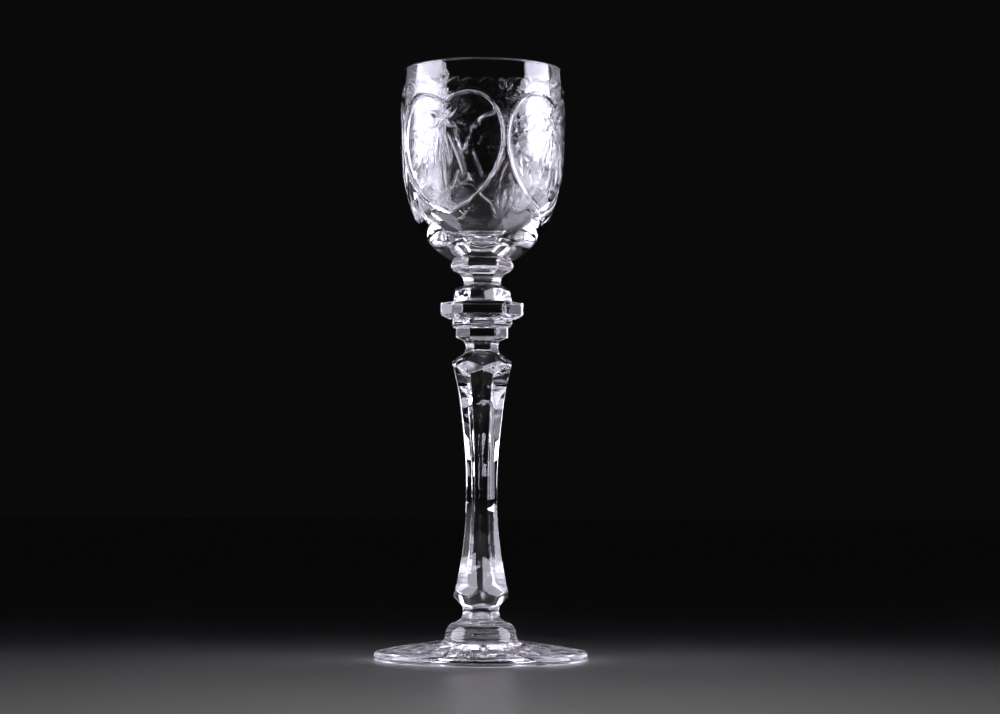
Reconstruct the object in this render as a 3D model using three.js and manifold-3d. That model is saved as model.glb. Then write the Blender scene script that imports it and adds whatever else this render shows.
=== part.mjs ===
// Small cut-crystal wine glass: a round bowl on a hexagonal knopped baluster stem and a round
// foot. Millimetres, +Z up, origin on the table at the middle of the foot. The front is -Y.
// Every piece is one gather of glass, butted flat against the next one and fused there.
import * as THREE from 'three';
import { mergeVertices } from 'three/addons/utils/BufferGeometryUtils.js';
import Module from 'manifold-3d';

// Joint planes, as heights above the table, from the foot up to the rim.
const FOOT_TOP = 5.6;
const BOSS_TOP = 14.2;
const BALUSTER_TOP = 89.2;
const BASE_KNOP_TOP = 95.3;
const LOWER_KNOP_TOP = 97.7;
const WIDE_KNOP_TOP = 102.4;
const UPPER_KNOP_TOP = 107.9;
const COLLAR_TOP = 115.0;
const RIM = 170.0;

// Foot and boss, round.
const FOOT_RADIUS = 30.65;
const FOOT_EDGE = 2.3;
const FOOT_RING_INNER = 24.0;
const FOOT_RING_OUTER = 29.6;
const FOOT_HOLLOW = 0.8;
const BOSS_RADIUS = 10.9;
const BOSS_NECK = 5.05;

// Stem pieces, hexagonal. FLAT values are half the width across flats, CORNER values reach the corners.
const BALUSTER_TOP_FLAT = 8.7;
const BALUSTER_WAIST_FLAT = 4.4;
const BALUSTER_BASE_FLAT = 7.9;
const STEM_NECK_CORNER = 4.7;
const BASE_KNOP_CORNER = 7.5;
const LOWER_KNOP_FLAT = 8.45;
const WIDE_KNOP_CORNER = 11.95;
const UPPER_KNOP_FLAT = 8.35;
const COLLAR_CORNER = 8.95;
const COLLAR_NECK_CORNER = 5.3;

// Bowl, round. Both surfaces are superellipses below their widest height.
const BOWL_RADIUS = 23.7;
const BOWL_WIDEST = 151.6;
const BOWL_DEPTH = 38.8;
const BOWL_POWER = 2.3;
const RIM_RADIUS = 23.0;
const CAVITY_RADIUS = 21.8;
const CAVITY_WIDEST = 150.0;
const CAVITY_DEPTH = 31.0;
const CAVITY_POWER = 2.4;
const LIP_WIDTH = 1.4;

// Faceting of this model.
const BOWL_SIDES = 60;
const FOOT_SIDES = 60;
const BOSS_SIDES = 36;
const CURVE_STEPS = 5;
const BALUSTER_STEPS = 18;
const HEX = 6;
const CORNER_FRONT = 0;
const FLAT_FRONT = Math.PI / 6;

const fromFlat = (flat) => flat / Math.cos(Math.PI / 6);

// A closed outline of points (radius, height), turned about Z into a prism-like solid of `sides`.
function turned(points, sides, turn = 0) {
  const geometry = new THREE.LatheGeometry(points, sides, turn);
  geometry.rotateX(Math.PI / 2);
  return geometry;
}

// A path that starts on the axis at `bottom`, follows `draw`, and returns to the axis at `top`.
function outline(bottom, top, draw, steps = CURVE_STEPS) {
  const path = new THREE.Path();
  path.moveTo(0, bottom);
  draw(path);
  path.lineTo(0, top);
  return path.getPoints(steps);
}

const { Manifold, Mesh: ManifoldMesh } = await (async () => {
  const wasm = await Module();
  wasm.setup();
  return wasm;
})();

// The common part of two closed geometries.
function common(first, second) {
  const solid = (geometry) => {
    const bare = new THREE.BufferGeometry();
    bare.setAttribute('position', geometry.getAttribute('position'));
    bare.setIndex(geometry.getIndex());
    const merged = mergeVertices(bare, 1e-4);
    const corners = merged.getIndex().array;
    const triangles = [];
    for (let i = 0; i < corners.length; i += 3) {
      const [a, b, c] = corners.subarray(i, i + 3);
      if (a !== b && b !== c && c !== a) triangles.push(a, b, c);
    }
    return new Manifold(new ManifoldMesh({
      numProp: 3,
      vertProperties: merged.getAttribute('position').array,
      triVerts: new Uint32Array(triangles),
    }));
  };
  const mesh = solid(first).intersect(solid(second)).getMesh();
  const result = new THREE.BufferGeometry();
  result.setAttribute('position', new THREE.BufferAttribute(mesh.vertProperties, 3));
  result.setIndex(new THREE.BufferAttribute(mesh.triVerts, 1));
  result.computeVertexNormals();
  return result;
}

// Round foot: a flat ring to stand on, a slightly hollow middle and a gently sloping top.
function footDisc() {
  const points = outline(FOOT_HOLLOW, FOOT_TOP, (path) => {
    path.quadraticCurveTo(0.6 * FOOT_RING_INNER, FOOT_HOLLOW, FOOT_RING_INNER, 0);
    path.lineTo(FOOT_RING_OUTER, 0);
    path.quadraticCurveTo(FOOT_RADIUS, 0, FOOT_RADIUS, 0.5 * FOOT_EDGE);
    path.quadraticCurveTo(FOOT_RADIUS, FOOT_EDGE, FOOT_RADIUS - 1.0, FOOT_EDGE + 0.2);
    path.quadraticCurveTo(20.0, 4.3, BOSS_RADIUS + 0.5, FOOT_TOP);
  }, 4);
  return turned(points, FOOT_SIDES);
}

// Round boss: a low dome on the foot, drawn in to the neck under the stem.
function footBoss() {
  const points = outline(FOOT_TOP, BOSS_TOP, (path) => {
    path.lineTo(BOSS_RADIUS, FOOT_TOP);
    path.quadraticCurveTo(10.3, 6.6, 10.1, 7.8);
    path.quadraticCurveTo(9.6, 10.2, 7.8, 10.6);
    path.quadraticCurveTo(5.0, 11.2, BOSS_NECK, BOSS_TOP);
  });
  return turned(points, BOSS_SIDES);
}

// Hexagonal baluster, a corner to the front. Its ends are bevelled by pyramids turned 30 degrees,
// so each end facet is centred on a corner and the shoulder lines run in zigzags.
function baluster() {
  const side = new THREE.SplineCurve([
    [BALUSTER_BASE_FLAT + 0.9, BOSS_TOP - 1],
    [BALUSTER_BASE_FLAT, 18.4],
    [6.2, 26.7],
    [5.0, 35.5],
    [BALUSTER_WAIST_FLAT, 46.0],
    [4.65, 57.0],
    [5.55, 67.3],
    [6.9, 77.7],
    [BALUSTER_TOP_FLAT, 85.4],
    [BALUSTER_TOP_FLAT + 1.1, BALUSTER_TOP + 1],
  ].map(([flat, height]) => new THREE.Vector2(fromFlat(flat), height)));
  const shaft = side.getPoints(BALUSTER_STEPS);
  shaft.unshift(new THREE.Vector2(0, shaft[0].y));
  shaft.push(new THREE.Vector2(0, shaft.at(-1).y));
  const bevels = outline(BOSS_TOP, BALUSTER_TOP, (path) => {
    path.lineTo(BOSS_NECK + 0.15, BOSS_TOP);
    path.lineTo(5.3, 15.4);
    path.lineTo(12.0, 22.0);
    path.lineTo(12.0, 83.1);
    path.lineTo(4.95, 88.0);
    path.lineTo(STEM_NECK_CORNER, BALUSTER_TOP);
  });
  return common(turned(shaft, HEX, CORNER_FRONT), turned(bevels, HEX, FLAT_FRONT));
}

// Base knop: the neck above the baluster and a small hexagonal wafer.
function baseKnop() {
  const points = outline(BALUSTER_TOP, BASE_KNOP_TOP, (path) => {
    path.lineTo(STEM_NECK_CORNER, BALUSTER_TOP);
    path.quadraticCurveTo(STEM_NECK_CORNER, 90.6, 5.3, 91.4);
    path.lineTo(BASE_KNOP_CORNER, 92.4);
    path.lineTo(BASE_KNOP_CORNER, BASE_KNOP_TOP);
  });
  return turned(points, HEX, FLAT_FRONT);
}

function lowerKnop() {
  const points = outline(BASE_KNOP_TOP, LOWER_KNOP_TOP, (path) => {
    path.lineTo(fromFlat(LOWER_KNOP_FLAT - 0.5), BASE_KNOP_TOP);
    path.lineTo(fromFlat(LOWER_KNOP_FLAT), BASE_KNOP_TOP + 0.6);
    path.lineTo(fromFlat(LOWER_KNOP_FLAT), LOWER_KNOP_TOP);
  });
  return turned(points, HEX, CORNER_FRONT);
}

function wideKnop() {
  const points = outline(LOWER_KNOP_TOP, WIDE_KNOP_TOP, (path) => {
    path.lineTo(WIDE_KNOP_CORNER - 2.2, LOWER_KNOP_TOP);
    path.lineTo(WIDE_KNOP_CORNER, LOWER_KNOP_TOP + 1.2);
    path.lineTo(WIDE_KNOP_CORNER, WIDE_KNOP_TOP);
  });
  return turned(points, HEX, FLAT_FRONT);
}

// Upper knop: a tapering hexagonal wafer whose top is ground to a round cone below the collar.
function upperKnop() {
  const wafer = outline(WIDE_KNOP_TOP, UPPER_KNOP_TOP, (path) => {
    path.lineTo(fromFlat(UPPER_KNOP_FLAT), WIDE_KNOP_TOP);
    path.lineTo(fromFlat(UPPER_KNOP_FLAT - 1.0), UPPER_KNOP_TOP);
  });
  const cone = outline(WIDE_KNOP_TOP, UPPER_KNOP_TOP, (path) => {
    path.lineTo(12.0, WIDE_KNOP_TOP);
    path.lineTo(12.0, 103.2);
    path.lineTo(COLLAR_NECK_CORNER, UPPER_KNOP_TOP);
  });
  return common(turned(wafer, HEX, CORNER_FRONT), turned(cone, BOSS_SIDES));
}

// Collar under the bowl: a bevelled hexagonal band on a hollow-sided hexagonal neck.
function bowlCollar() {
  const points = outline(UPPER_KNOP_TOP, COLLAR_TOP, (path) => {
    path.lineTo(COLLAR_NECK_CORNER, UPPER_KNOP_TOP);
    path.quadraticCurveTo(COLLAR_NECK_CORNER, 109.7, 6.8, 110.8);
    path.lineTo(COLLAR_CORNER - 0.2, 111.7);
    path.quadraticCurveTo(COLLAR_CORNER + 0.3, 113.1, COLLAR_CORNER - 0.2, 114.5);
    path.lineTo(COLLAR_CORNER - 0.9, COLLAR_TOP);
  });
  return turned(points, HEX, FLAT_FRONT);
}

// Radius of a superellipse that is widest at `widest` and ends `depth` below it.
function swell(radius, widest, depth, power, height) {
  const down = Math.max(0, widest - height) / depth;
  return radius * (1 - down ** power) ** (1 / power);
}

// Thick-based bowl with a slightly drawn-in rim and a rounded lip.
function bowl() {
  const points = [new THREE.Vector2(0, COLLAR_TOP)];
  const outerSteps = 13;
  for (let i = 0; i <= outerSteps; i += 1) {
    const rise = (i / outerSteps) ** 1.5;
    const height = COLLAR_TOP + (BOWL_WIDEST - COLLAR_TOP) * rise;
    points.push(new THREE.Vector2(swell(BOWL_RADIUS, BOWL_WIDEST, BOWL_DEPTH, BOWL_POWER, height), height));
  }
  const halfLip = LIP_WIDTH / 2;
  points.push(new THREE.Vector2(RIM_RADIUS + 0.15, 0.5 * (BOWL_WIDEST + RIM) + 4));
  const lipSteps = 6;
  for (let i = 0; i <= lipSteps; i += 1) {
    const angle = Math.PI * i / lipSteps;
    const radius = RIM_RADIUS - halfLip + halfLip * Math.cos(angle);
    points.push(new THREE.Vector2(radius, RIM - halfLip + halfLip * Math.sin(angle)));
  }
  const innerSteps = 12;
  for (let i = 0; i <= innerSteps; i += 1) {
    const angle = 0.5 * Math.PI * i / innerSteps;
    const height = CAVITY_WIDEST - CAVITY_DEPTH * Math.sin(angle);
    const radius = swell(CAVITY_RADIUS, CAVITY_WIDEST, CAVITY_DEPTH, CAVITY_POWER, height);
    points.push(new THREE.Vector2(i === innerSteps ? 0 : radius, height));
  }
  return turned(points, BOWL_SIDES);
}

const crystal = () => new THREE.MeshStandardMaterial({
  color: 0xf2f5f8,
  roughness: 0.02,
  metalness: 0,
  transparent: true,
  opacity: 0.35,
});

const glass = new THREE.Group();
const pieces = {
  foot_disc: footDisc(),
  foot_boss: footBoss(),
  stem_baluster: baluster(),
  base_knop: baseKnop(),
  lower_knop: lowerKnop(),
  wide_knop: wideKnop(),
  upper_knop: upperKnop(),
  bowl_collar: bowlCollar(),
  bowl: bowl(),
};
for (const [name, geometry] of Object.entries(pieces)) {
  const mesh = new THREE.Mesh(geometry, crystal());
  mesh.name = name;
  glass.add(mesh);
}

export default glass;
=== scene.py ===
"""Looks of the cut-crystal wine glass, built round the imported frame.

Shapes are worked out in millimetres, in the frame's own axes, and turned into metres when a mesh is
made. Angles round the glass are azimuths: 0 faces the front (-Y) and they grow towards +X.
Every piece is one closed body of glass. Where two pieces are fused, both have the same outline on the
joint plane, and the faces inside it carry the see-through joint material, so light passes as it does
in one body.
"""

import math

import bpy
import numpy as np
from mathutils import Matrix, Vector, geometry


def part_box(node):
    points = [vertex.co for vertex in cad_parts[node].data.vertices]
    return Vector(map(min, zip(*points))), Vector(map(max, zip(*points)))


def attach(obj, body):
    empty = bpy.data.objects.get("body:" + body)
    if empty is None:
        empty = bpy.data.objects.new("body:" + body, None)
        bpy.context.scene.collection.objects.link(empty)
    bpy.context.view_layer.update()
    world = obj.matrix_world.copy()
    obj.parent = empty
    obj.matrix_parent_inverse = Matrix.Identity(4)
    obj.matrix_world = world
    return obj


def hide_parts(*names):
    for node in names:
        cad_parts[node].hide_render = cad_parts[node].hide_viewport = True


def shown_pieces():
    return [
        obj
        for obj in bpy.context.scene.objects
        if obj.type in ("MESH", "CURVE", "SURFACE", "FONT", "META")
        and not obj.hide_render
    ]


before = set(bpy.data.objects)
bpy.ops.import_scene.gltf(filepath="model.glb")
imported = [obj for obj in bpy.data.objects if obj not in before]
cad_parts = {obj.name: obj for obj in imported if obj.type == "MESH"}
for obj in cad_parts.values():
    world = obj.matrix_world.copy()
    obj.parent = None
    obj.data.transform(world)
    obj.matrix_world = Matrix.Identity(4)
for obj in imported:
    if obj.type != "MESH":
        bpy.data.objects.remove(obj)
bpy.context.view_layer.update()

MM = 0.001
TAU = 2 * math.pi
COS30 = math.cos(math.pi / 6)

GLASS, JOINT = 0, 1

# ---------------------------------------------------------------- sizes from the frame


def spans(node):
    """A node's half width and its top, in millimetres."""
    low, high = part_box(node)
    low, high = Vector(low) / MM, Vector(high) / MM
    return (high.x - low.x) / 2, high.z


FOOT_RADIUS, FOOT_TOP = spans("foot_disc")
BOSS_RADIUS, BOSS_TOP = spans("foot_boss")
BALUSTER_FLAT, BALUSTER_TOP = spans("stem_baluster")
BASE_KNOP_CORNER, BASE_KNOP_TOP = spans("base_knop")
LOWER_KNOP_FLAT, LOWER_KNOP_TOP = spans("lower_knop")
WIDE_KNOP_CORNER, WIDE_KNOP_TOP = spans("wide_knop")
UPPER_KNOP_FLAT, UPPER_KNOP_TOP = spans("upper_knop")
COLLAR_CORNER, COLLAR_TOP = spans("bowl_collar")
BOWL_RADIUS, RIM = spans("bowl")

# ---------------------------------------------------------------- outlines round the axis

EDGE = 0.22  # how far a cut edge is softened by polishing


def stem_azimuths():
    """Azimuths shared by all stem pieces, close together at the corners of both hexagons."""
    near = [0.3, 0.65, 1.05, 1.55, 2.3, 4.0, 7.0, 11.0]
    offsets = [0.0, *near, 15.0, *[30 - n for n in reversed(near)]]
    return np.radians([30 * k + offset for k in range(12) for offset in offsets])


STEM = stem_azimuths()
CORNER_FRONT, FLAT_FRONT = math.radians(30), 0.0


def hexagon(flat, turn):
    """Radius of a hexagon with rounded corners. `flat` is half its width across flats, and `turn` is
    the azimuth of one facet."""
    flat = np.asarray(flat, float)
    off = np.abs((STEM - turn + math.pi / 6) % (math.pi / 3) - math.pi / 6)
    centre = (flat - EDGE) / COS30
    beta = math.pi / 6 - off
    tip = centre * np.cos(beta) + np.sqrt(np.maximum(EDGE**2 - (centre * np.sin(beta)) ** 2, 0))
    start = np.arctan2(centre * 0.5, flat)
    return np.where(off < start, flat / np.cos(off), tip)


CROWN = 0.012  # how far a crowned facet falls towards its edges, as a share of its half width


def crowned(flat, turn):
    """A hexagon whose facets bulge a little between their edges, as hand-ground facets do."""
    off = np.abs((STEM - turn + math.pi / 6) % (math.pi / 3) - math.pi / 6)
    return hexagon(flat, turn) - CROWN * flat * (np.tan(off) / math.tan(math.pi / 6)) ** 2


def circle(radius, azimuth=STEM):
    return np.full(len(azimuth), float(radius))


def soft_min(a, b, soft):
    return (a + b - np.sqrt((a - b) ** 2 + soft**2)) / 2


def soft_max(a, b, soft):
    return (a + b + np.sqrt((a - b) ** 2 + soft**2)) / 2


def smooth(x):
    x = np.clip(x, 0, 1)
    return x * x * (3 - 2 * x)


def at(azimuth, radius, height):
    height = np.broadcast_to(height, np.shape(azimuth))
    return np.stack([radius * np.sin(azimuth), -radius * np.cos(azimuth), height], -1)


# ---------------------------------------------------------------- outlines up the axis


def arc(start, corner, end, steps):
    """Points of a curve that leaves `start` towards `corner` and arrives at `end`."""
    t = np.linspace(0, 1, steps + 1)[:, None]
    a, b, c = (np.array(p, float) for p in (start, corner, end))
    return a * (1 - t) ** 2 + 2 * b * t * (1 - t) + c * t**2


def rounded(corners, steps=5):
    """An outline (size, height) with each corner (size, height, reach) softened over its reach."""
    corners = [(c[0], c[1], c[2] if len(c) > 2 else 0.0) for c in corners]
    points = []
    for i, (x, z, reach) in enumerate(corners):
        here = np.array([x, z])
        if reach == 0 or i in (0, len(corners) - 1):
            points.append(here)
            continue
        before = np.array(corners[i - 1][:2]) - here
        after = np.array(corners[i + 1][:2]) - here
        start = here + before * min(reach / np.hypot(*before), 0.45)
        end = here + after * min(reach / np.hypot(*after), 0.45)
        points.extend(arc(start, here, end, steps))
    return np.array(points)


def refined(points, step):
    """The same outline with long straight stretches divided."""
    out = [points[0]]
    for a, b in zip(points[:-1], points[1:]):
        count = max(1, int(np.hypot(*(b - a)) / step))
        out.extend(a + (b - a) * (k + 1) / count for k in range(count))
    return np.array(out)


# ---------------------------------------------------------------- closed bodies


class Body:
    """Triangles of one closed piece. Rings go round with growing azimuth, and each ring comes after
    the one before it on a path that starts on the axis below and ends on the axis above."""

    def __init__(self):
        self.points = []
        self.count = 0
        self.triangles = []
        self.slots = []

    def add(self, points):
        points = np.atleast_2d(points)
        self.points.append(points)
        self.count += len(points)
        return np.arange(self.count - len(points), self.count)

    def fill(self, triangles, slot=GLASS):
        triangles = np.asarray(triangles).reshape(-1, 3)
        a, b, c = triangles.T
        whole = triangles[(a != b) & (b != c) & (c != a)]
        self.triangles.append(whole)
        self.slots.append(np.full(len(whole), slot))

    def band(self, ring, following):
        after, following_after = np.roll(ring, -1), np.roll(following, -1)
        self.fill(np.stack([ring, after, following_after], 1))
        self.fill(np.stack([ring, following_after, following], 1))

    def rings(self, rings, first):
        """Adds rings of points and joins each to the one before it, starting from `first`."""
        for points in rings:
            ring = self.add(points)
            self.band(first, ring)
            first = ring
        return first

    def inner(self, ring, radius, height):
        """A ring on the same plane as `ring`, inside it, that shares its points where they meet."""
        inside = self.add(at(STEM, radius, height))
        outside = np.concatenate(self.points)[ring]
        own = np.hypot(outside[:, 0], outside[:, 1])
        return np.where(own - radius < 1e-4, ring, inside)

    def cap(self, ring, height, slot, below):
        middle = self.add([0, 0, height])[0]
        other = np.roll(ring, -1)
        middles = np.full(len(ring), middle)
        order = [middles, other, ring] if below else [middles, ring, other]
        self.fill(np.stack(order, 1), slot)

    def mesh(self, name):
        points = np.concatenate(self.points)
        triangles = np.concatenate(self.triangles)
        slots = np.concatenate(self.slots)
        used = np.unique(triangles)
        renumber = np.full(len(points), -1)
        renumber[used] = np.arange(len(used))
        points, triangles = points[used], renumber[triangles]
        mesh = bpy.data.meshes.new(name)
        mesh.from_pydata((points * MM).tolist(), [], triangles.tolist())
        mesh.polygons.foreach_set("material_index", slots.astype(np.int32))
        mesh.polygons.foreach_set("use_smooth", np.ones(len(triangles), bool))
        mesh.update()
        mesh.normals_split_custom_set_from_vertices(glass_normals(points, triangles, slots))
        return mesh


def glass_normals(points, triangles, slots):
    """Normals weighted by area, from glass faces only, so that facets stay flat up to their edges.
    Points inside a joint have no glass face, and take theirs from the joint's faces."""
    a, b, c = (points[triangles[:, k]] for k in range(3))
    across = np.cross(b - a, c - a)
    total = np.zeros_like(points)
    for wanted in (GLASS, JOINT):
        missing = np.hypot(*total.T[:2]) + np.abs(total[:, 2]) < 1e-12
        for k in range(3):
            rows = (slots == wanted) & missing[triangles[:, k]]
            np.add.at(total, triangles[rows, k], across[rows])
    return (total / np.maximum(np.linalg.norm(total, axis=1), 1e-12)[:, None]).tolist()


# ---------------------------------------------------------------- cut lines


class Sweep:
    """A surface of revolution given by an outline (radius, height), from its lower or outer edge
    upwards or inwards. Places on it are an azimuth and a distance along the outline."""

    def __init__(self, outline):
        self.radius, self.height = outline.T
        steps = np.hypot(*np.diff(outline, axis=0).T)
        self.along = np.concatenate([[0], np.cumsum(steps)])
        middle = (self.radius[1:] + self.radius[:-1]) / 2
        self.stretch = np.concatenate([[0], np.cumsum(steps / middle)])
        slope = np.gradient(outline, self.along, axis=0)
        self.slope = slope / np.linalg.norm(slope, axis=1)[:, None]

    def distance(self, height):
        order = np.argsort(self.height)
        return np.interp(height, self.height[order], self.along[order])

    def read(self, values, along):
        return np.interp(along, self.along, values)

    def place(self, azimuth, along, sink):
        """Points on the surface, sunk into the glass by `sink`."""
        out_r = self.read(self.slope[:, 1], along)
        out_z = -self.read(self.slope[:, 0], along)
        radius = self.read(self.radius, along) - out_r * sink
        return at(azimuth, radius, self.read(self.height, along) - out_z * sink)


def curve(controls, step):
    """A smooth curve through control points, as close samples."""
    controls = np.array(controls, float)
    ends = [2 * controls[0] - controls[1], *controls, 2 * controls[-1] - controls[-2]]
    samples = []
    for p, a, b, n in zip(ends, ends[1:], ends[2:], ends[3:]):
        count = max(2, int(np.hypot(*(b - a)) / step))
        t = np.linspace(0, 1, count, endpoint=False)[:, None]
        square = 2 * p - 5 * a + 4 * b - n
        cube = 3 * a - p - 3 * b + n
        samples.append(0.5 * (2 * a + (b - p) * t + square * t**2 + cube * t**3))
    samples.append(controls[-1:])
    return np.concatenate(samples)


ROUTE_STEP = 0.12


class Cut:
    """One wheel-cut stroke. `route` is in millimetres: distance round from the motif's middle line at
    the reference radius, and distance along the outline. `steep` is its depth as a share of its half
    width. Leaf strokes swell in the middle, thorns start wide, lines keep their width."""

    def __init__(self, route, half, steep, kind="line"):
        self.route = curve(route, ROUTE_STEP)
        t = np.linspace(0, 1, len(self.route))
        swell = {
            "line": np.ones_like(t),
            "leaf": np.sin(math.pi * np.clip(t, 0.02, 0.98)) ** 0.7,
            "thorn": np.sin(math.pi * np.clip(t, 0.02, 0.985) ** 0.6) ** 0.8,
        }[kind]
        self.half = half * swell
        self.depth = steep * self.half


BOTTOM = 0.2  # how round the bottom of a cut is, as a share of its half width
BLOCK = 4_000_000  # distances worked out at one time


def section(q):
    """Depth across a cut, from 1 in the middle to 0 at its edge."""
    top = math.sqrt(1 + BOTTOM**2)
    return np.clip((top - np.sqrt(q * q + BOTTOM**2)) / (top - BOTTOM), 0, 1)


def sinks(cuts, sweep, azimuth, along, fold, reference):
    """How deep the glass is cut at each place."""
    depth = np.zeros(len(azimuth))
    turn = TAU / fold
    local = (azimuth + turn / 2) % turn - turn / 2
    scale = sweep.read(sweep.radius, along)
    for cut in cuts:
        reach = cut.half.max()
        round_angle = cut.route[:, 0] / reference
        low, high = cut.route[:, 1].min() - reach, cut.route[:, 1].max() + reach
        offset = round_angle.mean()
        near = (local - offset + turn / 2) % turn - turn / 2 + offset
        margin = reach / scale
        rows = (along > low) & (along < high)
        rows &= (near > round_angle.min() - margin) & (near < round_angle.max() + margin)
        rows = np.flatnonzero(rows)
        for part in np.array_split(rows, max(1, len(rows) * len(cut.route) // BLOCK)):
            if not len(part):
                continue
            across = (near[part, None] - round_angle[None]) * scale[part, None]
            gap = np.hypot(across, along[part, None] - cut.route[None, :, 1])
            q = gap / cut.half[None]
            best = (cut.depth[None] * section(q)).max(axis=1)
            depth[part] = np.maximum(depth[part], best)
    return depth


GUIDE_ROWS = (0, 0.3, -0.3, 0.62, -0.62, 0.97, -0.97, 1.12, -1.12)  # as shares of a cut's half width
GUIDE_STEP = 0.36
NARROWEST = 0.12  # half width under which a cut gets no guides
LINE_SPACING, PLAIN_SPACING = 0.15, 0.42
PLAIN_PITCH = 0.85  # distance between places where nothing is cut
END_GAP = 0.25  # no cut's places come closer than this to an end of the sweep
JITTER = 0.12  # how far places off the cuts are moved at random, as a share of their pitch
OVERLAP = 0.35  # azimuth by which the flat map is repeated past its two ends


def guides(cuts, fold, reference):
    """Places in rows along every cut, so that the mesh follows it."""
    places = []
    for cut in cuts:
        every = max(1, int(GUIDE_STEP / ROUTE_STEP))
        route = cut.route[::every]
        half = cut.half[::every]
        ahead = np.gradient(cut.route, axis=0)[::every]
        ahead /= np.maximum(np.linalg.norm(ahead, axis=1), 1e-9)[:, None]
        keep = half > NARROWEST
        for share in GUIDE_ROWS:
            side = half[keep] * share
            x = route[keep, 0] - ahead[keep, 1] * side
            y = route[keep, 1] + ahead[keep, 0] * side
            places.append(np.stack([x / reference, y], 1))
    places = np.concatenate(places)
    turn = TAU / fold
    return np.concatenate([places + [turn * k, 0] for k in range(fold)])


def thinned(places, sweep, spacing):
    """Leaves out places that lie closer than `spacing` to an earlier one. Earlier ones win."""
    cell = 0.6  # has to be more than any spacing
    radius = sweep.read(sweep.radius, places[:, 1])
    taken = {}
    kept = []
    for i, (angle, along, r, gap) in enumerate(zip(*places.T, radius, spacing)):
        x, y, z = r * math.sin(angle), r * math.cos(angle), along
        key = (int(x // cell), int(y // cell), int(z // cell))
        near = (
            q
            for dx in (-1, 0, 1)
            for dy in (-1, 0, 1)
            for dz in (-1, 0, 1)
            for q in taken.get((key[0] + dx, key[1] + dy, key[2] + dz), ())
        )
        if any((x - a) ** 2 + (y - b) ** 2 + (z - c) ** 2 < gap * gap for a, b, c in near):
            continue
        taken.setdefault(key, []).append((x, y, z))
        kept.append(i)
    return places[kept]


def spread(sweep, cuts, fold, turned, reference):
    """Places between the two ends of a sweep: dense rows along every cut, and a loose grid elsewhere."""
    draw = np.random.default_rng(7)
    length = sweep.along[-1]
    rows = []
    count = max(2, int(length / PLAIN_PITCH))
    for k in range(1, count):
        along = length * k / count
        round_count = max(24, int(TAU * sweep.read(sweep.radius, along) / PLAIN_PITCH))
        azimuth = (np.arange(round_count) + 0.5 * (k % 2)) * TAU / round_count
        rows.append(np.stack([azimuth, np.full(round_count, along)], 1))
    plain = np.concatenate(rows)
    radius = sweep.read(sweep.radius, plain[:, 1])
    plain[:, 0] += draw.uniform(-JITTER, JITTER, len(plain)) * PLAIN_PITCH / radius
    plain[:, 1] += draw.uniform(-JITTER, JITTER, len(plain)) * PLAIN_PITCH
    lines = guides(cuts, fold, reference)
    lines[:, 0] += turned
    lines = lines[(lines[:, 1] > END_GAP) & (lines[:, 1] < length - END_GAP)]
    plain_gap = 0.3 * PLAIN_PITCH
    plain = plain[(plain[:, 1] > plain_gap) & (plain[:, 1] < length - plain_gap)]
    inside = np.concatenate([lines, plain])
    inside[:, 0] %= TAU
    spacing = np.concatenate([np.full(len(lines), LINE_SPACING), np.full(len(plain), PLAIN_SPACING)])
    return thinned(inside, sweep, spacing)


def cut_surface(body, sweep, start, end, cuts, fold, turned, reference):
    """Fills the sweep between a start ring and an end ring (azimuths), with the cuts sunk into it. The
    cuts repeat `fold` times round. Returns the two rings' points."""
    first = np.stack([start % TAU, np.zeros(len(start))], 1)
    last = np.stack([end % TAU, np.full(len(end), sweep.along[-1])], 1)
    places = np.concatenate([first, last, spread(sweep, cuts, fold, turned, reference)])
    depth = sinks(cuts, sweep, (places[:, 0] - turned) % TAU, places[:, 1], fold, reference)
    depth[: len(first) + len(last)] = 0
    ids = body.add(sweep.place(places[:, 0], places[:, 1], depth))
    # Triangles are found on a flat map, and the ones whose middle is past an end are dropped.
    flat = np.stack([places[:, 0], sweep.read(sweep.stretch, places[:, 1])], 1)
    low, high = flat[:, 0] < OVERLAP, flat[:, 0] > TAU - OVERLAP
    wide = np.concatenate([flat, flat[low] + [TAU, 0], flat[high] - [TAU, 0]])
    wide_ids = np.concatenate([ids, ids[low], ids[high]])
    found = geometry.delaunay_2d_cdt([Vector(p) for p in wide.tolist()], [], [], 0, 1e-7, False)
    points = np.array([(v.x, v.y) for v in found[0]])
    corners = np.array(found[2])
    if len(points) != len(wide):
        raise RuntimeError("two places on a cut surface coincide")
    middle = points[corners].mean(axis=1)[:, 0]
    corners = corners[(middle >= 0) & (middle < TAU)]
    a, b, c = (points[corners[:, k]] for k in range(3))
    clockwise = (b - a)[:, 0] * (c - a)[:, 1] - (b - a)[:, 1] * (c - a)[:, 0] < 0
    corners[clockwise] = corners[clockwise][:, ::-1]
    body.fill(wide_ids[corners])
    return ids[: len(first)], ids[len(first) : len(first) + len(last)]


# ---------------------------------------------------------------- joint planes

# Every joint's outline is the smaller of the two outlines that meet there, so both pieces share it.

NECK_CORNER = 4.7
BALUSTER_FOOT_CORNER = 5.2
COLLAR_NECK_CORNER = 5.3
BOWL_BASE = 9.6

# How far each knop's side steps in on its way to the plane under it (BEVEL) and over it (ROUND).
BASE_KNOP_ROUND = 0.25
LOWER_KNOP_BEVEL, LOWER_KNOP_ROUND = 0.5, 0.2
WIDE_KNOP_BEVEL, WIDE_KNOP_ROUND = 2.2, 0.35
UPPER_KNOP_BEVEL = 0.1
COLLAR_ROUND = 0.9


def from_corner(corner, turn):
    return hexagon(corner * COS30, turn)


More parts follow.
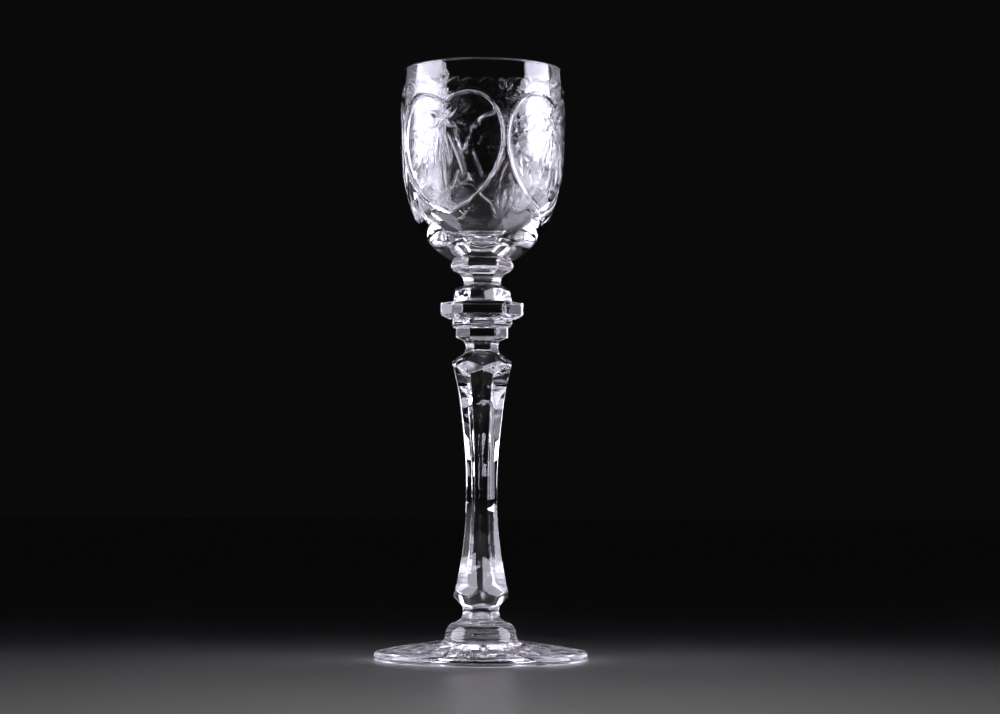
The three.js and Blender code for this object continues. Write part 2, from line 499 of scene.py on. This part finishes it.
base_knop_top = from_corner(BASE_KNOP_CORNER - BASE_KNOP_ROUND, FLAT_FRONT)
lower_knop_bottom = hexagon(LOWER_KNOP_FLAT - LOWER_KNOP_BEVEL, CORNER_FRONT)
lower_knop_top = hexagon(LOWER_KNOP_FLAT - LOWER_KNOP_ROUND, CORNER_FRONT)
wide_knop_bottom = from_corner(WIDE_KNOP_CORNER - WIDE_KNOP_BEVEL, FLAT_FRONT)
wide_knop_top = from_corner(WIDE_KNOP_CORNER - WIDE_KNOP_ROUND, FLAT_FRONT)
upper_knop_bottom = hexagon(UPPER_KNOP_FLAT - UPPER_KNOP_BEVEL, CORNER_FRONT)
collar_bottom = from_corner(COLLAR_NECK_CORNER, FLAT_FRONT)
collar_top = from_corner(COLLAR_CORNER - COLLAR_ROUND, FLAT_FRONT)

foot_joint = circle(BOSS_RADIUS)
boss_joint = from_corner(BALUSTER_FOOT_CORNER, FLAT_FRONT)
neck_joint = from_corner(NECK_CORNER, FLAT_FRONT)
base_knop_joint = np.minimum(base_knop_top, lower_knop_bottom)
lower_knop_joint = np.minimum(lower_knop_top, wide_knop_bottom)
wide_knop_joint = np.minimum(wide_knop_top, upper_knop_bottom)
upper_knop_joint = collar_bottom
collar_joint = collar_top


def stack(bottom_joint, rings, top_joint):
    """A closed piece from rings of points that go up its side."""
    body = Body()
    low, high = rings[0], rings[-1]
    first = body.add(low)
    inside = body.inner(first, bottom_joint, low[0, 2])
    body.cap(inside, low[0, 2], JOINT, below=True)
    body.band(inside, first)
    last = body.rings(rings[1:], first)
    inside = body.inner(last, top_joint, high[0, 2])
    body.band(last, inside)
    body.cap(inside, high[0, 2], JOINT, below=False)
    return body


def prism(outline, turn):
    """Rings of a hexagonal side. The outline gives corner radius and height."""
    return [at(STEM, from_corner(corner, turn), height) for corner, height in outline]


# ---------------------------------------------------------------- nicks of wear

NICK_DEPTH = 0.11
SHALLOW_UNDER = 0.3  # nicks smaller than this are less deep too
BALUSTER_NICKS = 30
WIDE_KNOP_NICKS = [
    # degrees round, height, size
    (30, 101.9, 0.3), (-30, 99.1, 0.35), (90, 100.4, 0.25),
    (150, 102.2, 0.3), (-90, 99.3, 0.3), (-30, 101.2, 0.2),
]


def nicked(rings, azimuths, heights, sizes):
    """Small chips knocked out of cut edges. Each is a shallow dent centred on an edge."""
    middles = at(azimuths, 1.0, 0.0)[:, :2]
    out = []
    for ring in rings:
        ring = ring.copy()
        own = np.hypot(ring[:, 0], ring[:, 1])
        for middle, height, size in zip(middles, heights, sizes):
            if abs(ring[:, 2] - height).min() > 2.5 * size:
                continue
            across = ring[:, 0] * middle[1] - ring[:, 1] * middle[0]
            ahead = ring[:, 0] * middle[0] + ring[:, 1] * middle[1] > 0
            far = (across / size) ** 2 + ((ring[:, 2] - height) / size) ** 2
            dent = NICK_DEPTH * np.exp(-far) * ahead * min(1, size / SHALLOW_UNDER)
            ring[:, :2] *= (1 - dent / own)[:, None]
        out.append(ring)
    return out


# ---------------------------------------------------------------- stem pieces


def base_knop():
    """Small wafer, a flat to the front, on a neck that flares into it."""
    neck_end = (5.3, 91.4)
    side_end = (BASE_KNOP_CORNER, BASE_KNOP_TOP - BASE_KNOP_ROUND)
    edge = (BASE_KNOP_CORNER, BASE_KNOP_TOP)
    top = (BASE_KNOP_CORNER - BASE_KNOP_ROUND, BASE_KNOP_TOP)
    outline = np.concatenate([
        arc((NECK_CORNER, BALUSTER_TOP), (NECK_CORNER, 90.6), neck_end, 12),
        rounded([neck_end, (BASE_KNOP_CORNER, 92.4, 0.3), side_end])[1:],
        arc(side_end, edge, top, 4)[1:],
    ])
    return stack(neck_joint, prism(refined(outline, 0.5), FLAT_FRONT), base_knop_joint)


def lower_knop():
    """Thin wafer, a corner to the front."""
    edge = LOWER_KNOP_FLAT / COS30
    outline = rounded([
        ((LOWER_KNOP_FLAT - LOWER_KNOP_BEVEL) / COS30, BASE_KNOP_TOP),
        (edge, BASE_KNOP_TOP + 0.6, 0.25),
        (edge, LOWER_KNOP_TOP, 0.24),
        ((LOWER_KNOP_FLAT - LOWER_KNOP_ROUND) / COS30, LOWER_KNOP_TOP),
    ])
    return stack(base_knop_joint, prism(refined(outline, 0.5), CORNER_FRONT), lower_knop_joint)


def wide_knop():
    """The widest wafer, a flat to the front, with worn corners."""
    outline = rounded([
        (WIDE_KNOP_CORNER - WIDE_KNOP_BEVEL, LOWER_KNOP_TOP),
        (WIDE_KNOP_CORNER, LOWER_KNOP_TOP + 1.2, 0.3),
        (WIDE_KNOP_CORNER, WIDE_KNOP_TOP, WIDE_KNOP_ROUND),
        (WIDE_KNOP_CORNER - WIDE_KNOP_ROUND, WIDE_KNOP_TOP),
    ])
    degrees, heights, sizes = np.array(WIDE_KNOP_NICKS).T
    rings = nicked(prism(refined(outline, 0.4), FLAT_FRONT), np.radians(degrees), heights, sizes)
    return stack(lower_knop_joint, rings, wide_knop_joint)


def rows_between(low, high, steps, bunched=0.0):
    """Rows from one height to another at every azimuth. `bunched` draws them towards both ends."""
    t = np.linspace(0, 1, steps + 1)[:, None]
    return low + (high - low) * ((1 - bunched) * t + bunched * smooth(t))


CREASE_REACH = 0.4  # distance from a crease to the first of the evenly spread rows
CREASE_SOFT = 0.1
CONE_SLOPE = 1.43
UPPER_KNOP_TAPER = 0.18


def creased(crease, farthest):
    """Rows on a crease and close to it on both sides."""
    distances = [0.04, 0.09, 0.16, farthest]
    below = [crease - distance for distance in reversed(distances)]
    above = [crease + distance for distance in distances]
    return [*below, crease, *above]


def upper_knop():
    """Hexagonal wafer whose top is ground to a cone, so the cone rises between the corners."""

    def side(height):
        return hexagon(UPPER_KNOP_FLAT - UPPER_KNOP_TAPER * (height - WIDE_KNOP_TOP), CORNER_FRONT)

    def cone(height):
        line = COLLAR_NECK_CORNER + CONE_SLOPE * (UPPER_KNOP_TOP - height)
        return collar_bottom + (line - collar_bottom) * smooth((UPPER_KNOP_TOP - height) / 0.8)

    crease = np.full(len(STEM), 105.0)
    for _ in range(8):  # each pass brings the crease nearer to where the side meets the cone
        crease = UPPER_KNOP_TOP - (side(crease) - COLLAR_NECK_CORNER) / CONE_SLOPE
    low = np.full(len(STEM), WIDE_KNOP_TOP)
    high = np.full(len(STEM), UPPER_KNOP_TOP)
    rows = [*rows_between(low, crease - CREASE_REACH, 8)]
    rows += creased(crease, 0.26)
    rows += [*rows_between(crease + CREASE_REACH, high, 12)]
    rings = []
    for height in rows:
        step_in = UPPER_KNOP_BEVEL * (1 - smooth((height - WIDE_KNOP_TOP) / 0.25))
        radius = soft_min(side(height), cone(height), CREASE_SOFT) - step_in
        rings.append(at(STEM, radius, height))
    rings[0] = at(STEM, upper_knop_bottom, WIDE_KNOP_TOP)
    rings[-1] = at(STEM, collar_bottom, UPPER_KNOP_TOP)
    return stack(wide_knop_joint, rings, upper_knop_joint)


def bowl_collar():
    """Bulging band, a flat to the front, on a neck that flares into it."""
    neck_end = (6.8, 110.8)
    edge = COLLAR_CORNER - 0.65
    low, high = (edge + 0.12, 111.9), (edge + 0.12, 114.4)
    bulge = (2 * COLLAR_CORNER - edge - 0.12, 113.15)
    outline = np.concatenate([
        arc((COLLAR_NECK_CORNER, UPPER_KNOP_TOP), (COLLAR_NECK_CORNER, 109.7), neck_end, 14),
        rounded([neck_end, (edge, 111.6, 0.3), low])[1:],
        arc(low, bulge, high, 12)[1:],
        rounded([high, (edge, 114.7, 0.2), (COLLAR_CORNER - COLLAR_ROUND, COLLAR_TOP)])[1:],
    ])
    return stack(upper_knop_joint, prism(refined(outline, 0.45), FLAT_FRONT), collar_joint)


def stem_baluster():
    """Waisted hexagonal stem, a corner to the front. Pyramids turned by 30 degrees bevel its ends, so
    the shoulder lines zigzag. Rows follow those lines, which keeps them crisp."""
    route = curve([
        (8.6, 14.0), (7.85, 18.4), (6.2, 26.7), (5.0, 35.5), (4.4, 46.0),
        (4.65, 57.0), (5.55, 67.3), (6.9, 77.7), (BALUSTER_FLAT, 85.4), (9.6, 90.0),
    ], 0.3)

    def side(height):
        return crowned(np.interp(height, route[:, 1], route[:, 0]), CORNER_FRONT)

    top_slope, top_end = 1.44, 88.0
    bottom_slope, bottom_end = 1.0, 15.4
    top_blend, bottom_blend = 0.7, 0.8

    def top_bevel(height):
        line = 4.95 + top_slope * (top_end - height)
        neck = NECK_CORNER + 0.2 * (BALUSTER_TOP - height)
        corner = soft_max(line, neck, 0.5)
        corner -= (corner - NECK_CORNER) * smooth((height - BALUSTER_TOP + top_blend) / top_blend)
        return from_corner(corner, FLAT_FRONT)

    def bottom_bevel(height):
        line = 5.3 + bottom_slope * (height - bottom_end)
        corner = soft_max(line, BALUSTER_FOOT_CORNER, 0.4)
        share = smooth((BOSS_TOP + bottom_blend - height) / bottom_blend)
        return from_corner(corner + (BALUSTER_FOOT_CORNER - corner) * share, FLAT_FRONT)

    def crossing(bevel, inner, outer):
        """Height where the bevel meets the side, found by halving."""
        inner, outer = np.full(len(STEM), inner), np.full(len(STEM), outer)
        for _ in range(30):
            middle = (inner + outer) / 2
            cut = bevel(middle) < side(middle)
            inner, outer = np.where(cut, middle, inner), np.where(cut, outer, middle)
        return (inner + outer) / 2

    upper = crossing(top_bevel, top_end, 80.0)
    lower = crossing(bottom_bevel, 15.5, 24.0)
    low = np.full(len(STEM), BOSS_TOP)
    high = np.full(len(STEM), BALUSTER_TOP)
    rows = [*rows_between(low, lower - CREASE_REACH, 14)]
    rows += creased(lower, 0.27)
    rows += [*rows_between(lower + CREASE_REACH, upper - CREASE_REACH, 170, 0.25)]
    rows += creased(upper, 0.27)
    rows += [*rows_between(upper + CREASE_REACH, high, 16)]
    rings = []
    waist = 50  # each bevel is only wanted on its own side of the waist, and well away from it
    for height in rows:
        above = top_bevel(np.maximum(height, waist + 10))
        below = bottom_bevel(np.minimum(height, waist - 10))
        bevel = np.where(height > waist, above, below)
        rings.append(at(STEM, soft_min(side(height), bevel, CREASE_SOFT), height))
    rings[0] = at(STEM, boss_joint, BOSS_TOP)
    rings[-1] = at(STEM, neck_joint, BALUSTER_TOP)
    draw = np.random.default_rng(3)
    edges = np.radians(60 * draw.integers(0, 6, BALUSTER_NICKS))
    heights = draw.uniform(20, 84, BALUSTER_NICKS)
    sizes = draw.uniform(0.1, 0.24, BALUSTER_NICKS)
    return stack(boss_joint, nicked(rings, edges, heights, sizes), neck_joint)


# ---------------------------------------------------------------- foot


def foot_boss():
    """Round dome whose neck turns from round to the stem's hexagon on the way up."""
    side_end, dome_end, cove_end = (10.2, 7.5), (7.9, 10.7), (5.3, 13.0)
    round_end = 11.2
    outline = np.concatenate([
        arc((BOSS_RADIUS, FOOT_TOP), (10.35, 6.1), side_end, 20),
        arc(side_end, (9.75, 10.0), dome_end, 40)[1:],
        arc(dome_end, (5.45, 11.4), cove_end, 40)[1:],
        arc(cove_end, (5.2, 13.6), (5.2, BOSS_TOP), 12)[1:],
    ])
    rings = []
    for radius, height in outline:
        share = smooth((height - round_end) / (BOSS_TOP - round_end))
        hexed = from_corner(radius, FLAT_FRONT)
        rings.append(at(STEM, radius * (1 - share) + hexed * share, height))
    rings[-1] = at(STEM, boss_joint, BOSS_TOP)
    return stack(foot_joint, rings, boss_joint)


FOOT_RING_INNER, FOOT_RING_OUTER = 24.0, 29.6
FOOT_EDGE = 2.5
FOOT_HOLLOW = 0.8
FOOT_FOLD = 12
FOOT_REFERENCE = 21.0


def foot_cuts(sweep):
    """Twelve long leaves, with a short leaf beyond every tip. Between each two are another short leaf
    and two curved thorns. Places are (distance round at the reference radius, radius)."""
    order = np.argsort(sweep.radius)

    def stroke(places, half, steep, kind="leaf"):
        route = [(x, np.interp(r, sweep.radius[order], sweep.along[order])) for x, r in places]
        return Cut(route, half, steep, kind)

    between = TAU / FOOT_FOLD * FOOT_REFERENCE / 2
    cuts = [
        stroke([(0, 23.4), (0, 18.5), (0, 13.4)], 1.5, 0.4),
        stroke([(between, 29.0), (between, 24.0), (between, 19.0)], 1.2, 0.5),
        stroke([(0, 28.9), (0, 27.0), (0, 24.6)], 1.0, 0.5),
    ]
    thorn = [(0.7, 19.6), (1.9, 21.8), (2.4, 24.4)]
    for side in (-1, 1):
        places = [(between + side * out, radius) for out, radius in thorn]
        cuts.append(stroke(places, 0.45, 0.6, "thorn"))
    return cuts


def foot_disc():
    """Round foot with a ground ring under it, hollowed inside the ring and cut on top."""
    body = Body()
    inner, outer = FOOT_RING_INNER, FOOT_RING_OUTER
    hollow_end = (inner - 1.2, 0.05)
    widest = (FOOT_RADIUS, 0.45 * FOOT_EDGE)
    under = np.concatenate([
        arc((2.0, FOOT_HOLLOW), (0.55 * inner, FOOT_HOLLOW), hollow_end, 12),
        arc(hollow_end, (inner - 0.5, 0.0), (inner, 0.0), 3)[1:],
        np.array([(inner + (outer - inner) * k / 4, 0.0) for k in range(1, 5)]),
        arc((outer, 0.0), (FOOT_RADIUS, 0.0), widest, 8)[1:],
    ])
    rings = [at(STEM, circle(radius), height) for radius, height in under[:-1]]
    first = body.add(rings[0])
    body.cap(first, FOOT_HOLLOW, GLASS, below=True)
    rim = body.rings(rings[1:], first)
    edge_end, slope_end = (FOOT_RADIUS - 1.1, FOOT_EDGE + 0.12), (12.0, 5.45)
    sweep = Sweep(np.concatenate([
        arc(widest, (FOOT_RADIUS, FOOT_EDGE), edge_end, 14),
        arc(edge_end, (20.0, 4.25), slope_end, 40)[1:],
        arc(slope_end, (11.4, 5.53), (BOSS_RADIUS, FOOT_TOP), 8)[1:],
    ]))
    cuts = foot_cuts(sweep)
    start, end = cut_surface(body, sweep, STEM, STEM, cuts, FOOT_FOLD, 0.0, FOOT_REFERENCE)
    body.band(rim, start)
    body.cap(end, FOOT_TOP, JOINT, below=False)
    return body


# ---------------------------------------------------------------- bowl

BOWL_WIDEST, BOWL_DEPTH, BOWL_POWER = 151.6, 38.8, 2.3
RIM_RADIUS = BOWL_RADIUS - 0.7
LIP = 0.7  # half the glass's width at the rim
CAVITY_RADIUS, CAVITY_WIDEST, CAVITY_DEPTH, CAVITY_POWER = 21.8, 150.0, 31.0, 2.4
ROUND = np.radians(np.arange(240) * 1.5)
BOWL_FOLD = 4
BOWL_TURN = math.radians(-31.5)
FLOWER_HEIGHT = 153
PETALS = 6


def superellipse(radius, widest, depth, power, low, step):
    """Outline of a bowl from height `low` up to its widest place, in even steps."""
    start = math.acos(min(1.0, ((widest - low) / depth) ** (power / 2)))
    angle = start + (math.pi / 2 - start) * np.linspace(0, 1, 4000)
    fall = np.cos(angle) ** (2 / power)
    out = np.sin(angle) ** (2 / power)
    return evened(np.stack([radius * out, widest - depth * fall], 1), step)


def evened(points, step):
    along = np.concatenate([[0], np.cumsum(np.hypot(*np.diff(points, axis=0).T))])
    wanted = np.linspace(0, along[-1], max(2, int(along[-1] / step) + 1))
    return np.stack([np.interp(wanted, along, points[:, k]) for k in range(2)], 1)


def bowl_outside():
    lower = superellipse(BOWL_RADIUS, BOWL_WIDEST, BOWL_DEPTH, BOWL_POWER, COLLAR_TOP, 0.3)
    height = np.linspace(BOWL_WIDEST, RIM - LIP, 60)[1:]
    rise = (height - BOWL_WIDEST) / (RIM - LIP - BOWL_WIDEST)
    upper = np.stack([BOWL_RADIUS - (BOWL_RADIUS - RIM_RADIUS) * rise**2, height], 1)
    return Sweep(np.concatenate([lower, upper]))


def bowl_cuts(sweep):
    """One quarter of the engraving: a flower framed by a band, sprays above it and beside it, and a fan
    at the foot of the bowl. Places are (degrees round from the flower, height)."""

    def stroke(places, half, steep, kind="leaf", about=0.0, side=1):
        route = [
            (math.radians(about + side * (degrees - about)) * BOWL_RADIUS, sweep.distance(height))
            for degrees, height in places
        ]
        return Cut(route, half, steep, kind)

    def both(places, half, steep, kind="leaf", about=0.0):
        return [stroke(places, half, steep, kind, about, side) for side in (-1, 1)]

    def dot(degrees, height, half, about=0.0):
        return both([(degrees - 0.05, height), (degrees + 0.05, height)], half, 0.5, "line", about)

    cuts = []
    frame_band = [
        (0.0, 157.8), (9, 159.6), (20, 160.4), (31, 158.9), (39.5, 154.6), (43, 148.6),
        (41.2, 142.4), (34, 135.8), (20, 130.3), (0.0, 126.7),
    ]
    cuts += both(frame_band, 0.52, 1.3, "line")
    for k in range(PETALS):
        angle = TAU * (k + 0.5) / PETALS
        out = [
            (math.degrees(d * math.cos(angle) / BOWL_RADIUS), FLOWER_HEIGHT + d * math.sin(angle))
            for d in (1.2, 3.4, 5.6)
        ]
        cuts.append(stroke(out, 1.2, 0.5, "thorn"))
    cuts.append(stroke([(-0.05, FLOWER_HEIGHT), (0.05, FLOWER_HEIGHT)], 0.8, 0.5, "line"))
    cuts += both([(2.8, 148.5), (4.6, 144.0), (5.8, 139.6)], 0.9, 0.65)
    cuts += both([(4, 149), (9, 145), (13.5, 140), (16.5, 135)], 0.65, 0.7)
    cuts += both([(13.9, 144.8), (16.4, 140.5), (17.9, 136.3)], 0.3, 0.6)
    cuts += both([(22, 144.5), (26.5, 139.6), (29.5, 134.6)], 0.4, 0.6)
    cuts += both([(1.0, 147.0), (1.9, 139.0), (2.1, 131.5)], 0.5, 0.75)
    ray_start = (1.2, 158.9)
    for tip in ((2.5, 162.0), (5.8, 161.9), (8.6, 160.6), (9.9, 158.4), (9.2, 156.2)):
        halfway = (0.5 * (ray_start[0] + tip[0]), 0.5 * (ray_start[1] + tip[1]))
        cuts += both([ray_start, halfway, tip], 0.26, 0.8, "thorn")
    cuts += both([(8.7, 152), (14.2, 151.6), (19.7, 150.5)], 0.2, 0.7, "line")
    cuts += both([(9.7, 133.3), (15, 134.6), (21, 134.3), (24, 133)], 0.5, 0.6)
    berries = [
        (20.5, 148.4, 0.45), (26.4, 150.8, 0.35), (26.4, 148.4, 0.3), (26.2, 145.7, 0.35),
        (33, 144.7, 0.4),
    ]
    for degrees, height, half in berries:
        cuts += dot(degrees, height, half)
    cuts += both([(1.5, 162.8), (6.5, 164.3), (11.7, 164.7)], 0.55, 0.6)
    cuts += both([(11, 163), (18, 164.2), (25, 163.9)], 0.4, 0.6)
    cuts += both([(1.5, 162.6), (2.4, 164.4), (2.5, 166)], 0.8, 0.5)
    cuts.append(stroke([(0, 162), (0, 164), (0, 166)], 0.5, 0.6))
    cuts += both([(25, 162.5), (29, 164.0), (33, 164.3)], 0.45, 0.6)
    cuts += dot(36, 161.3, 0.4) + dot(38.5, 163.3, 0.35)
    half_way = 45.0
    cuts.append(stroke([(45, 161), (45, 162.7), (45, 164.5)], 0.5, 0.6))
    cuts += both([(44.6, 161), (41.8, 161.6), (40, 163)], 0.45, 0.6, about=half_way)
    cuts.append(stroke([(45, 125), (45, 129.2), (45, 133.5)], 1.1, 0.55))
    cuts += both([(44, 125.2), (41.2, 128.0), (39.5, 131.5)], 0.9, 0.55, about=half_way)
    cuts += both([(43, 124.8), (38.8, 126.2), (35.5, 128.8)], 0.8, 0.55, about=half_way)
    cuts += both([(5, 124.8), (12.0, 125.4), (20, 127.8)], 0.5, 0.6)
    return cuts


def bowl():
    """Round bowl with a thick base. The outside is cut, and the rim and the inside are plain."""
    body = Body()
    base = body.add(at(STEM, circle(BOWL_BASE), COLLAR_TOP))
    inside = body.inner(base, collar_joint, COLLAR_TOP)
    body.cap(inside, COLLAR_TOP, JOINT, below=True)
    body.band(inside, base)
    sweep = bowl_outside()
    cuts = bowl_cuts(sweep)
    start, end = cut_surface(body, sweep, STEM, ROUND, cuts, BOWL_FOLD, BOWL_TURN, BOWL_RADIUS)
    body.band(base, start)
    lip = [math.pi * k / 10 for k in range(1, 11)]
    profile = [(RIM_RADIUS - LIP + LIP * math.cos(a), RIM - LIP + LIP * math.sin(a)) for a in lip]
    height = np.linspace(RIM - LIP, CAVITY_WIDEST, 12)[1:]
    share = (height - CAVITY_WIDEST) / (RIM - LIP - CAVITY_WIDEST)
    wall = CAVITY_RADIUS + (RIM_RADIUS - 2 * LIP - CAVITY_RADIUS) * share**2
    profile += list(zip(wall, height))
    bottom = CAVITY_WIDEST - CAVITY_DEPTH
    lower = superellipse(CAVITY_RADIUS, CAVITY_WIDEST, CAVITY_DEPTH, CAVITY_POWER, bottom + 0.002, 0.3)
    profile += [tuple(p) for p in lower[::-1][1:] if p[0] > 0.7]
    last = body.rings([at(ROUND, circle(radius, ROUND), height) for radius, height in profile], end)
    body.cap(last, bottom, GLASS, below=False)
    return body


# ---------------------------------------------------------------- materials


def new_material(name):
    material = bpy.data.materials.new(name)
    material.use_nodes = True
    shader = next(n for n in material.node_tree.nodes if n.type == "BSDF_PRINCIPLED")
    return material, material.node_tree.nodes, material.node_tree.links, shader


def crystal(name, wave, size, haze=0.0):
    """Clear lead crystal. Its polished faces are a little wavy; `haze` adds faint wear."""
    material, nodes, links, shader = new_material(name)
    shader.inputs["Base Color"].default_value = (1, 1, 1, 1)
    shader.inputs["Transmission Weight"].default_value = 1.0
    shader.inputs["Roughness"].default_value = haze
    shader.inputs["IOR"].default_value = 1.545
    place = nodes.new("ShaderNodeTexCoord")
    waves = nodes.new("ShaderNodeTexNoise")
    waves.inputs["Scale"].default_value = 1 / (size * MM)
    waves.inputs["Detail"].default_value = 1.5
    bump = nodes.new("ShaderNodeBump")
    bump.inputs["Strength"].default_value = 1.0
    bump.inputs["Distance"].default_value = wave * MM
    links.new(place.outputs["Object"], waves.inputs["Vector"])
    links.new(waves.outputs["Fac"], bump.inputs["Height"])
    links.new(bump.outputs["Normal"], shader.inputs["Normal"])
    return material


def see_through(name):
    """Marks faces inside fused glass. They aren't there for light."""
    material, _, _, shader = new_material(name)
    shader.inputs["Alpha"].default_value = 0.0
    return material


joint_material = see_through("fused_joint")
bowl_glass = crystal("bowl_crystal", 0.05, 10)
stem_glass = crystal("stem_crystal", 0.03, 8)
collar_glass = crystal("collar_crystal", 0.03, 8, 0.1)
foot_glass = crystal("foot_crystal", 0.04, 9)

PIECES = {
    "foot_disc": (foot_disc, foot_glass, "foot_glass"),
    "foot_boss": (foot_boss, foot_glass, "foot_glass"),
    "stem_baluster": (stem_baluster, stem_glass, "stem_glass"),
    "base_knop": (base_knop, stem_glass, "stem_glass"),
    "lower_knop": (lower_knop, stem_glass, "stem_glass"),
    "wide_knop": (wide_knop, stem_glass, "stem_glass"),
    "upper_knop": (upper_knop, stem_glass, "stem_glass"),
    "bowl_collar": (bowl_collar, collar_glass, "stem_glass"),
    "bowl": (bowl, bowl_glass, "bowl_glass"),
}

for node, (build, glass, slot) in PIECES.items():
    mesh = build().mesh("cut_" + node)
    mesh.materials.append(glass)
    mesh.materials.append(joint_material)
    piece = bpy.data.objects.new("cut_" + node, mesh)
    bpy.context.collection.objects.link(piece)
    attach(piece, "root")
    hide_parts(node)

# ---------------------------------------------------------------- floor, lights and camera

pieces = bpy.data.collections.new("pieces")
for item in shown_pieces():
    if item.name.startswith("cut_"):
        pieces.objects.link(item)

floor_mesh = bpy.data.meshes.new("floor")
FLOOR_HALF = 3
AIR_GAP = 0.0001  # between the ground foot and the floor, as under any glass that stands loose
floor_corners = [
    (x * FLOOR_HALF, y * FLOOR_HALF, -AIR_GAP) for x, y in ((-1, -1), (1, -1), (1, 1), (-1, 1))
]
floor_mesh.from_pydata(floor_corners, [], [(0, 1, 2, 3)])
floor = bpy.data.objects.new("floor", floor_mesh)
bpy.context.collection.objects.link(floor)
stage = bpy.data.collections.new("stage")
stage.objects.link(floor)
pale, _, _, shader = new_material("pale_floor")
shader.inputs["Base Color"].default_value = (0.62, 0.62, 0.64, 1)
shader.inputs["Roughness"].default_value = 0.4
floor_mesh.materials.append(pale)


LAMP_TINT = (0.87, 0.83, 1.0)  # daylight lamps, a little cooler than the camera's white
LAMP_LUMINANCE = 0.85  # of that tint


def lamp(name, place, target, radiance, wide, tall):
    """A rectangular lamp that lights only the glass, as black flags would arrange."""
    light = bpy.data.lights.new(name, "AREA")
    light.shape = "RECTANGLE"
    light.size, light.size_y = wide, tall
    light.color = LAMP_TINT
    light.energy = radiance / LAMP_LUMINANCE * math.pi * wide * tall
    item = bpy.data.objects.new(name, light)
    item.location = place
    toward = Vector(target) - Vector(place)
    item.rotation_euler = toward.to_track_quat("-Z", "Y").to_euler()
    bpy.context.collection.objects.link(item)
    item.light_linking.receiver_collection = pieces


LAMPS = [
    # name, place, aim, radiance, width, height
    ("softbox_left", (-1.2, -0.02, 0.75), (0, -0.02, 0.75), 7.0, 1.1, 1.3),
    ("softbox_right", (1.2, -0.09, 0.75), (0, -0.09, 0.75), 7.0, 0.94, 1.3),
    ("core_left", (-1.2, -0.02, 0.66), (0, -0.02, 0.66), 11.0, 0.5, 0.5),
    ("core_right", (1.2, -0.09, 0.66), (0, -0.09, 0.66), 11.0, 0.44, 0.5),
    ("front_left", (-1.2, -0.69, 0.48), (0, -0.69, 0.48), 6.5, 0.21, 0.24),
    ("front_right", (1.2, -0.62, 0.48), (0, -0.62, 0.48), 6.5, 0.17, 0.24),
    ("bounce_left", (-0.75, 0.12, 0.002), (-0.75, 0.12, 1), 3.5, 0.8, 0.6),
    ("bounce_right", (0.75, 0.12, 0.002), (0.75, 0.12, 1), 3.5, 0.8, 0.6),
    ("ceiling_left", (-0.8, -1.0, 1.3), (0, 0, 0.1), 1.0, 0.7, 0.7),
    ("ceiling_right", (0.8, -1.0, 1.3), (0, 0, 0.1), 1.0, 0.7, 0.7),
    ("ceiling_back", (0, 1.1, 1.3), (0, 0, 0.1), 0.25, 1.6, 0.7),
]
# Narrow strips behind the glass on both sides, dimmer towards the back: azimuth in degrees, radiance.
WINGS = ((118, 1.8), (124, 1.2), (130, 0.6), (134, 0.5), (138, 0.3), (143, 0.6))
WING_DISTANCE, WING_MIDDLE, WING_WIDE, WING_TALL = 1.3, 0.45, 0.07, 0.9
for side in (-1, 1):
    for angle, radiance in WINGS:
        turn = side * math.radians(angle)
        place = (WING_DISTANCE * math.sin(turn), -WING_DISTANCE * math.cos(turn), WING_MIDDLE)
        name = "wing_%d" % (side * angle)
        LAMPS.append((name, place, (0, 0, WING_MIDDLE), radiance, WING_WIDE, WING_TALL))
for settings in LAMPS:
    lamp(*settings)

pool = bpy.data.lights.new("pool", "SPOT")
pool.energy = 16
pool.spot_size = math.radians(24)
pool.spot_blend = 1.0
pool.shadow_soft_size = 0.15
pool_item = bpy.data.objects.new("pool", pool)
pool_item.location = (0, -0.22, 1.2)
bpy.context.collection.objects.link(pool_item)
pool_item.light_linking.receiver_collection = stage
pool_item.light_linking.blocker_collection = stage

world = bpy.data.worlds.new("dark_room")
world.use_nodes = True
backdrop = world.node_tree.nodes["Background"]
backdrop.inputs["Color"].default_value = (1, 1, 1, 1)
backdrop.inputs["Strength"].default_value = 0.003
scene = bpy.context.scene
scene.world = world
scene.view_settings.view_transform = "Standard"
scene.cycles.max_bounces = 24
scene.cycles.transmission_bounces = 24
scene.cycles.glossy_bounces = 12
scene.cycles.transparent_max_bounces = 24
scene.cycles.caustics_reflective = True
scene.cycles.caustics_refractive = True

lens = bpy.data.cameras.new("camera")
lens.lens = 93.6
lens.sensor_width = 36
lens.clip_start = 0.05
camera = bpy.data.objects.new("camera", lens)
CAMERA_DISTANCE, CAMERA_HEIGHT = 0.7476, 0.0503
CAMERA_AZIMUTH = math.radians(-2.5)
PAN, UPWARD, ROLL = math.radians(-0.4), math.radians(2.797), math.radians(0.2)
camera.location = (
    CAMERA_DISTANCE * math.sin(CAMERA_AZIMUTH),
    -CAMERA_DISTANCE * math.cos(CAMERA_AZIMUTH),
    CAMERA_HEIGHT,
)
heading = Matrix.Rotation(CAMERA_AZIMUTH + PAN, 4, "Z")
tilt = Matrix.Rotation(math.radians(90) + UPWARD, 4, "X")
camera.rotation_euler = (heading @ tilt @ Matrix.Rotation(ROLL, 4, "Z")).to_euler()
bpy.context.collection.objects.link(camera)
scene.camera = camera
